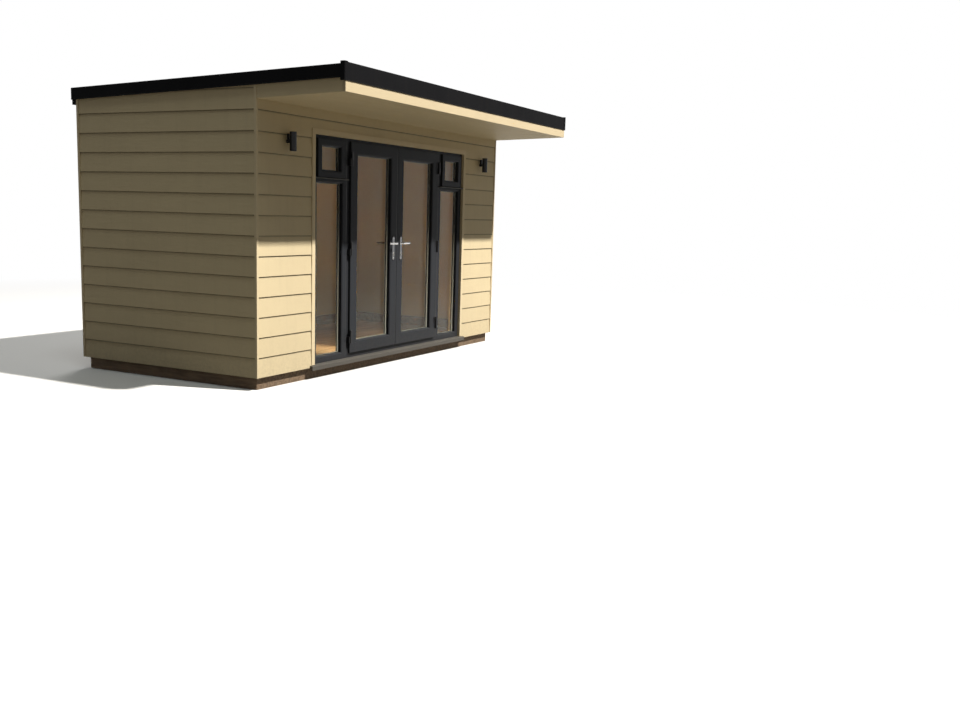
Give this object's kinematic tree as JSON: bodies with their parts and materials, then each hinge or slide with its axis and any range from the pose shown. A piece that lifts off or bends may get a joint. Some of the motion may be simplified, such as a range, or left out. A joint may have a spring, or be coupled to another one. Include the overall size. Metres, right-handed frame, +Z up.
{
  "type": "garden office pod",
  "caption": "Flat-roofed timber garden room with cream lapped cladding, a deep front canopy, and glazed outward-opening French doors between sidelights.",
  "frame": {"origin": "middle of the room's footprint on the ground, under the middle floor joist", "axes": "+X to the right seen from the front, +Y to the back, +Z up"},
  "size_m": [4.09, 2.897, 2.4955],
  "materials": {
    "treated_timber": "rough sawn, brown preservative",
    "deck_board": "plain",
    "laminate": "satin laminate",
    "wall_lining": "matt emulsion",
    "cladding": "wood-grained fibre cement, cream factory paint",
    "cream_trim": "satin cream paint",
    "cream_board": "satin cream paint",
    "soffit": "satin cream paint",
    "roof_core": "insulated timber panel",
    "membrane": "matt rubber sheet",
    "black_trim": "satin black",
    "ceiling_white": "matt white",
    "skirting_white": "satin white paint",
    "frame_grey": "anthracite satin foil",
    "glass": "clear sealed double glazing",
    "handle_chrome": "polished",
    "hinge_black": "satin black",
    "lamp_black": "satin black"
  },
  "bodies": {
    "building": {"floor_frame": "treated_timber", "floor_deck": "deck_board", "laminate_floor": "laminate", "left_wall": "wall_lining", "right_wall": "wall_lining", "back_wall": "wall_lining", "front_wall_left": "wall_lining", "front_wall_right": "wall_lining", "front_wall_head": "wall_lining", "left_cladding": "cladding", "right_cladding": "cladding", "back_cladding": "cladding", "front_cladding_sides": "cladding", "front_cladding_head": "cladding", "corner_trims": "cream_trim", "opening_trim": "cream_trim", "roof_panel": "roof_core", "roof_membrane": "membrane", "roof_trim_sides": "black_trim", "roof_trim_front": "black_trim", "rear_fascia": "black_trim", "canopy_soffit": "soffit", "canopy_fascia": "cream_board", "canopy_cheeks": "cream_board", "ceiling": "ceiling_white", "skirting": "skirting_white", "cill": "frame_grey", "sidelight_frame_left": "frame_grey", "sidelight_frame_right": "frame_grey", "door_frame": "frame_grey", "sidelight_glass": "glass", "fanlight_sashes": "frame_grey", "fanlight_glass": "glass", "hinge_frame_halves": "hinge_black", "wall_lamps": "lamp_black", "gutter": "black_trim", "downpipe": "black_trim"},
    "left_door": {"left_door_leaf": "frame_grey", "left_door_glass": "glass", "left_door_handles": "handle_chrome", "left_hinge_leaf_halves": "hinge_black"},
    "right_door": {"right_door_leaf": "frame_grey", "right_door_glass": "glass", "right_door_handles": "handle_chrome", "right_hinge_leaf_halves": "hinge_black"}
  },
  "joints": [
    {"name": "left_door_hinge", "type": "hinge", "parent": "building", "child": "left_door", "pos_m": [-0.764, -0.979, 1.08], "axis": [0, 0, -1], "range_deg": [0, 95]},
    {"name": "right_door_hinge", "type": "hinge", "parent": "building", "child": "right_door", "pos_m": [0.764, -0.979, 1.08], "axis": [0, 0, 1], "range_deg": [0, 95]}
  ]
}
